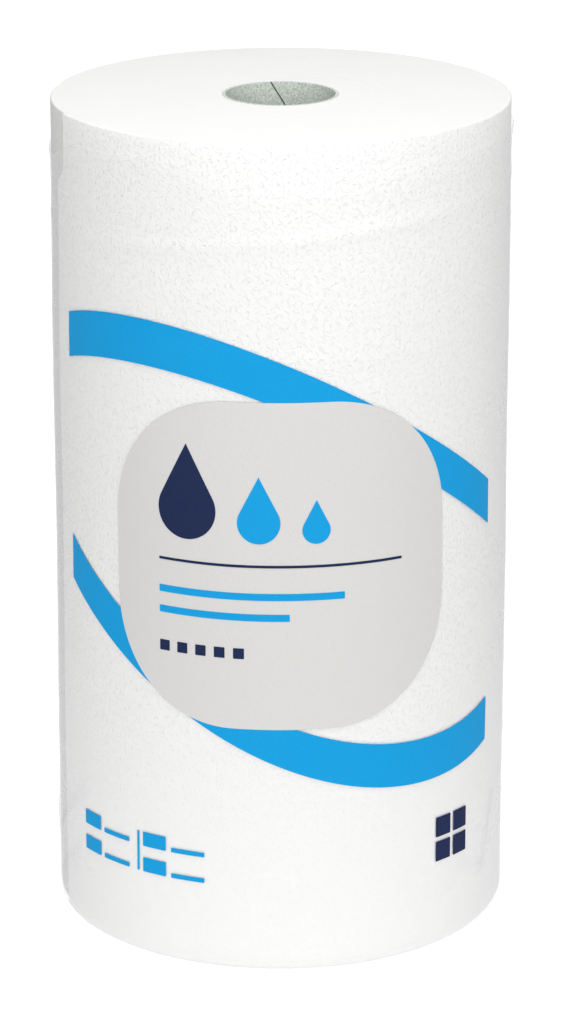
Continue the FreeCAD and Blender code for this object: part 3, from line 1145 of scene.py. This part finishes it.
class TOWEL_OT_small_marks(bpy.types.Operator):
    """Adds the small blue and navy marks on the panel and low on the sleeve."""

    bl_idname = "towel.small_marks"
    bl_label = "Small Marks"

    # On the panel: drops above its middle, blue lines and a row of squares below it
    drop_radii = (10 * MM, 7 * MM, 4.6 * MM)
    line_widths = (62 * MM, 44 * MM)
    line_fall = 11 * MM
    line_pitch = 7 * MM
    squares = 5
    square_fall = 31 * MM
    square_pitch = 6.4 * MM

    # Low on the sleeve, turned to the left and to the right of the front
    table_angle = math.radians(-38)
    column_pitch = 29 * MM
    column_inset = 2 * MM
    table_rise = 40 * MM
    table_pitch = 9 * MM
    block = (9 * MM, 5 * MM)
    dash = (12 * MM, 1.6 * MM)
    dash_offset = 11 * MM
    divider = (-0.4 * MM, 31 * MM, 0.8 * MM, 14 * MM)
    tile_angle = math.radians(48)
    tile_side = 7 * MM
    tile_pitch = 8.6 * MM
    tile_rise = 32 * MM

    def drops(self, sizes):
        """The flat drops, largest first."""
        made = []
        left = -sizes.margin
        low = sizes.panel_rise + sizes.drop_foot
        for radius in self.drop_radii:
            piece = flat_drop(left + radius, low, radius, sizes.drop_tip)
            strips(left, left + 2 * radius, MARK_STRIP, 0)
            strips(low, low + radius * (1 + sizes.drop_tip), STRIP_HEIGHT, 1)
            made.append(piece)
            left += 2 * radius + sizes.drop_gap
            bpy.ops.object.mode_set(mode="OBJECT")
        return made

    def box(self, left, low, width, height):
        """One flat mark, cut in strips."""
        piece = flat_box(left, low, width, height)
        strips(left, left + width, MARK_STRIP, 0)
        bpy.ops.object.mode_set(mode="OBJECT")
        return piece

    def printed(self, pieces, name, context, coat, around=0.0):
        """Joins flat marks, inks them and bends them on to the sleeve."""
        piece = joined(pieces, name)
        bpy.ops.object.mode_set(mode="EDIT")
        inked(piece, name, context.scene.sleeve_sizes)
        wrapped(piece, context, coat, around)
        return piece

    def execute(self, context):
        sizes = context.scene.print_sizes
        sleeve = context.scene.sleeve_sizes
        colours = context.scene.roll_colours
        rise = sizes.panel_rise
        left = -sizes.margin
        drops = self.drops(sizes)
        lines = [self.box(left, rise - self.line_fall - row * self.line_pitch, width,
                          sizes.line_height)
                 for row, width in enumerate(self.line_widths)]
        rule = self.box(left, rise, 2 * sizes.margin, sizes.rule_height)
        squares = [self.box(left + number * self.square_pitch, rise - self.square_fall,
                            sizes.square, sizes.square)
                   for number in range(self.squares)]
        blue = [
            self.printed(drops[1:] + lines, "blue_on_panel", context, 2),
            self.printed(self.table(), "blue_table", context, 1, self.table_angle),
        ]
        navy = [
            self.printed(drops[:1] + [rule] + squares, "navy_on_panel", context, 2),
            self.printed(self.tiles(), "navy_tiles", context, 1, self.tile_angle),
        ]
        for pieces, name, node, ink, rgb in (
            (blue, "blue_marks", "print_blue_marks", "blue_ink", colours.blue),
            (navy, "navy_marks", "print_navy_marks", "navy_ink", colours.navy),
        ):
            piece = joined(pieces, name)
            smooth(piece, 40)
            piece.data.materials.append(ink_finish(name, rgb, sleeve))
            placed(piece, ink, node)
        return {"FINISHED"}

    def table(self):
        """Two columns of blocks and lines with a divider between them."""
        marks = []
        for column in (0, 1):
            left = (column - 1) * self.column_pitch + self.column_inset
            for row in (0, 1):
                low = self.table_rise - row * self.table_pitch
                marks.append(self.box(left, low, *self.block))
                marks.append(self.box(left + self.dash_offset, low, *self.dash))
        marks.append(self.box(*self.divider))
        return marks

    def tiles(self):
        """Four small squares, two by two."""
        side, pitch = self.tile_side, self.tile_pitch
        return [self.box(column * pitch - side, self.tile_rise + row * pitch, side, side)
                for column in (0, 1) for row in (0, 1)]


class StageSizes(bpy.types.PropertyGroup):
    """Camera, floor and light."""

    distance: length("Distance", "From the camera to the middle of the roll", 1.5)
    aim_height: length("Aim height", "Height that the camera looks at", 0.136)
    elevation: turn("Elevation", "Height of the camera above the level", 17.5)
    lens: bpy.props.FloatProperty(name="Lens", description="Focal length on a 36 mm high sensor",
                                  default=156.8, min=1.0, unit="CAMERA")
    floor_size: length("Floor size", "Side of the pale floor", 14.0)


# Soft lamps: place, what each faces, width, height, and power in watts
LAMPS = {
    "front_light": ((0.2, -2.5, 0.7), (0, 0, 0.10), 3.0, 1.0, 18.0),
    "top_light": ((0.03, -0.22, 0.75), (0, 0, 0.28), 0.35, 0.25, 1.65),
}

# Light that the floor gives back, near the roll and far from it, and its paint
FLOOR_REACH = (0.12, 0.45)
FLOOR_GLOW = (0.60, 0.47)
FLOOR_PAINT = (0.36, 0.36, 0.36, 1.0)

# Light of the sky: in front and behind, and what is added overhead
SKY_DEPTH = (-0.3, 0.7)
SKY_LIGHT = (0.6, 0.15)
OVERHEAD = (0.5, 1.0)
OVERHEAD_LIGHT = (0.0, 0.25)


class TOWEL_OT_stage(bpy.types.Operator):
    """Adds the pale floor, the soft studio light and the camera."""

    bl_idname = "towel.stage"
    bl_label = "Stage"

    def floor(self, sizes):
        """The pale floor, white to the camera and softer in what it throws on the roll."""
        bpy.ops.object.select_all(action="DESELECT")
        bpy.ops.mesh.primitive_plane_add(size=sizes.floor_size, location=(0, 0, 0))
        piece = bpy.context.object
        piece.name = "floor"
        finish = new_finish("pale_floor")
        seen = finish.node("ShaderNodeLightPath", output="Is Camera Ray")
        away = finish.node("ShaderNodeVectorMath", {"operation": "LENGTH"},
                           {0: finish.object_place()}, "Value")
        given = finish.ramp(away, *FLOOR_REACH, *FLOOR_GLOW)
        shade = given + seen * (1.0 - given)
        glow = finish.node("ShaderNodeCombineColor",
                           sockets={name: shade for name in ("Red", "Green", "Blue")})
        finish.principled(Base_Color=FLOOR_PAINT, Roughness=0.9, Emission_Color=glow,
                          Emission_Strength=1.0)
        piece.data.materials.append(finish.owner)

    def light(self, name, place, target, width, height, power):
        """A soft oblong lamp that faces a target."""
        lamp = bpy.data.lights.new(name, "AREA")
        lamp.shape = "RECTANGLE"
        lamp.size = width
        lamp.size_y = height
        lamp.energy = power
        holder = bpy.data.objects.new(name, lamp)
        bpy.context.collection.objects.link(holder)
        holder.location = place
        facing = Vector(target) - Vector(place)
        holder.rotation_euler = facing.to_track_quat("-Z", "Y").to_euler()

    def execute(self, context):
        sizes = context.scene.stage_sizes
        scene = context.scene
        self.floor(sizes)
        for name, lamp in LAMPS.items():
            self.light(name, *lamp)
        world = bpy.data.worlds.new("studio")
        scene.world = world
        finish = Finish(world)
        seen = finish.node("ShaderNodeLightPath", output="Is Camera Ray")
        _, depth, rise = finish.parts_of(finish.node("ShaderNodeTexCoord", output="Generated"))
        dome = finish.ramp(depth, *SKY_DEPTH, *SKY_LIGHT)
        dome = dome + finish.ramp(rise, *OVERHEAD, *OVERHEAD_LIGHT)
        strength = seen + dome * (1.0 - seen)
        sky = finish.node("ShaderNodeBackground",
                          sockets={"Color": (1, 1, 1, 1), "Strength": strength})
        finish.node("ShaderNodeOutputWorld", sockets={"Surface": sky})
        scene.view_settings.view_transform = "Standard"
        lens = bpy.data.cameras.new("camera")
        lens.sensor_fit = "VERTICAL"
        lens.sensor_height = 36
        lens.lens = sizes.lens
        camera = bpy.data.objects.new("camera", lens)
        context.collection.objects.link(camera)
        aim = Vector((0, 0, sizes.aim_height))
        away = Vector((0, -math.cos(sizes.elevation), math.sin(sizes.elevation))) * sizes.distance
        camera.location = aim + away
        camera.rotation_euler = (-away).to_track_quat("-Z", "Y").to_euler()
        scene.camera = camera
        return {"FINISHED"}


class TOWEL_PT_sidebar(bpy.types.Panel):
    """Lists the pieces of the roll and the stage."""

    bl_label = "Towel Roll"
    bl_idname = "TOWEL_PT_sidebar"
    bl_space_type = "VIEW_3D"
    bl_region_type = "UI"
    bl_category = "Towel Roll"

    def draw(self, context):
        for operator in OPERATORS:
            self.layout.operator(operator.bl_idname)
        for name in GROUPS:
            group = getattr(context.scene, name)
            box = self.layout.box()
            for field in group.__annotations__:
                box.prop(group, field)


OPERATORS = (
    TOWEL_OT_wound_sheet,
    TOWEL_OT_board_tube,
    TOWEL_OT_clear_sleeve,
    TOWEL_OT_grey_panel,
    TOWEL_OT_blue_bands,
    TOWEL_OT_small_marks,
    TOWEL_OT_stage,
)

GROUPS = {
    "roll_sizes": RollSizes,
    "sleeve_sizes": SleeveSizes,
    "print_sizes": PrintSizes,
    "roll_colours": RollColours,
    "stage_sizes": StageSizes,
}


def register():
    for group in GROUPS.values():
        bpy.utils.register_class(group)
    for operator in OPERATORS:
        bpy.utils.register_class(operator)
    bpy.utils.register_class(TOWEL_PT_sidebar)
    for name, group in GROUPS.items():
        setattr(bpy.types.Scene, name, bpy.props.PointerProperty(type=group))


def unregister():
    for name in GROUPS:
        delattr(bpy.types.Scene, name)
    bpy.utils.unregister_class(TOWEL_PT_sidebar)
    for operator in reversed(OPERATORS):
        bpy.utils.unregister_class(operator)
    for group in reversed(GROUPS.values()):
        bpy.utils.unregister_class(group)


def main():
    """Builds every piece in order."""
    register()
    bpy.ops.towel.wound_sheet()
    bpy.ops.towel.board_tube()
    bpy.ops.towel.clear_sleeve()
    bpy.ops.towel.grey_panel()
    bpy.ops.towel.blue_bands()
    bpy.ops.towel.small_marks()
    bpy.ops.towel.stage()


if __name__ == "__main__":
    main()
